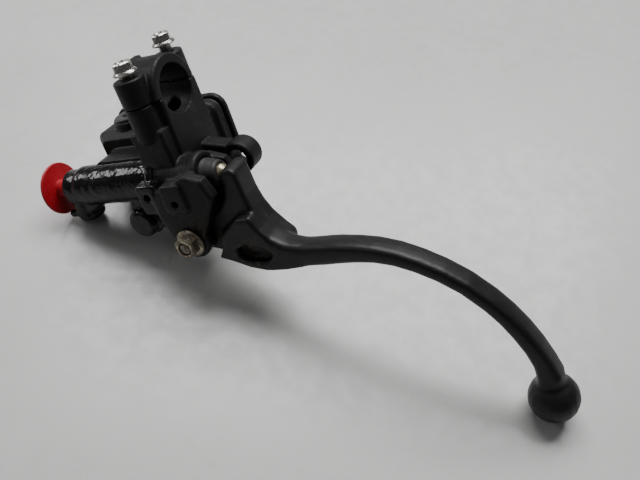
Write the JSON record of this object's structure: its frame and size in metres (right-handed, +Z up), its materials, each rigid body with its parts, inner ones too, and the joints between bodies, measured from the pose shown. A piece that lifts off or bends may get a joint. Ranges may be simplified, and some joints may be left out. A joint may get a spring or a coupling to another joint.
{
  "type": "motorcycle brake master cylinder",
  "caption": "Front brake master cylinder with integral fluid reservoir, handlebar clamp, mirror boss and a ball-ended hand lever that pushes the piston.",
  "frame": {"origin": "centre of the bounding box on the table the object rests on", "axes": "+Z up from the table, +X along the table the way the handlebar bore points to the lever's end, +Y across it towards the reservoir cap"},
  "size_m": [0.269, 0.1038, 0.0951],
  "materials": {
    "gloss_black_casting": "gloss paint",
    "satin_black_casting": "satin paint",
    "zinc_plated_steel": "bright zinc",
    "oxidised_steel": "dull, brownish zinc",
    "bare_steel": "plain",
    "black_rubber": "matte",
    "white_plastic": "matte",
    "clear_plastic": "clear",
    "black_plastic": "satin",
    "bronze": "plain",
    "anodised_aluminium": "anodised",
    "red_plastic": "smooth"
  },
  "bodies": {
    "casting": {"master_cylinder_body": "gloss_black_casting", "reservoir_cap": "satin_black_casting", "cap_screw_left": "zinc_plated_steel", "cap_screw_right": "zinc_plated_steel", "diaphragm": "black_rubber", "diaphragm_plate": "white_plastic", "port_baffle": "bare_steel", "sight_glass": "clear_plastic", "sight_glass_ring": "black_plastic", "pivot_bolt": "zinc_plated_steel", "pivot_nut": "oxidised_steel", "circlip": "bare_steel", "dust_boot": "black_rubber", "return_spring": "bare_steel"},
    "clamp": {"clamp_cap": "satin_black_casting"},
    "lower_bolt": {"clamp_bolt_lower": "zinc_plated_steel"},
    "upper_bolt": {"clamp_bolt_upper": "zinc_plated_steel"},
    "lever": {"lever": "satin_black_casting", "pivot_bushing": "bronze"},
    "piston": {"piston": "anodised_aluminium", "primary_cup": "black_rubber", "secondary_cup": "black_rubber"},
    "plug": {"port_plug": "red_plastic"}
  },
  "joints": [
    {"name": "lever_pivot", "type": "hinge", "parent": "casting", "child": "lever", "pos_m": [-0.04631, -0.00696, 0.02544], "axis": [-0.1288, -0.9543, 0.2697], "range_deg": [0, 18], "stiffness_Nm_per_rad": 1.5, "springref_deg": -22.92},
    {"name": "piston_slide", "type": "slide", "parent": "casting", "child": "piston", "axis": [-0.9024, 0, -0.4309], "range_m": [0, 0.0096], "deforming": ["return_spring", "dust_boot"]},
    {"name": "clamp_lift", "type": "slide", "parent": "casting", "child": "clamp", "axis": [-0.4112, 0.2989, 0.8611], "range_m": [0, 0.006]},
    {"name": "lower_bolt_turn_out", "type": "slide", "parent": "clamp", "child": "lower_bolt", "axis": [-0.4112, 0.2989, 0.8611], "range_m": [-0.0021, 0.012]},
    {"name": "upper_bolt_turn_out", "type": "slide", "parent": "clamp", "child": "upper_bolt", "axis": [-0.4112, 0.2989, 0.8611], "range_m": [-0.0035, 0.012]},
    {"name": "plug_pull", "type": "slide", "parent": "casting", "child": "plug", "axis": [-0.9024, 0, -0.4309], "range_m": [0, 0.014]}
  ],
  "couplings": [
    {"joint": "piston_slide", "follows": "lever_pivot", "m_per_rad": 0.03}
  ]
}
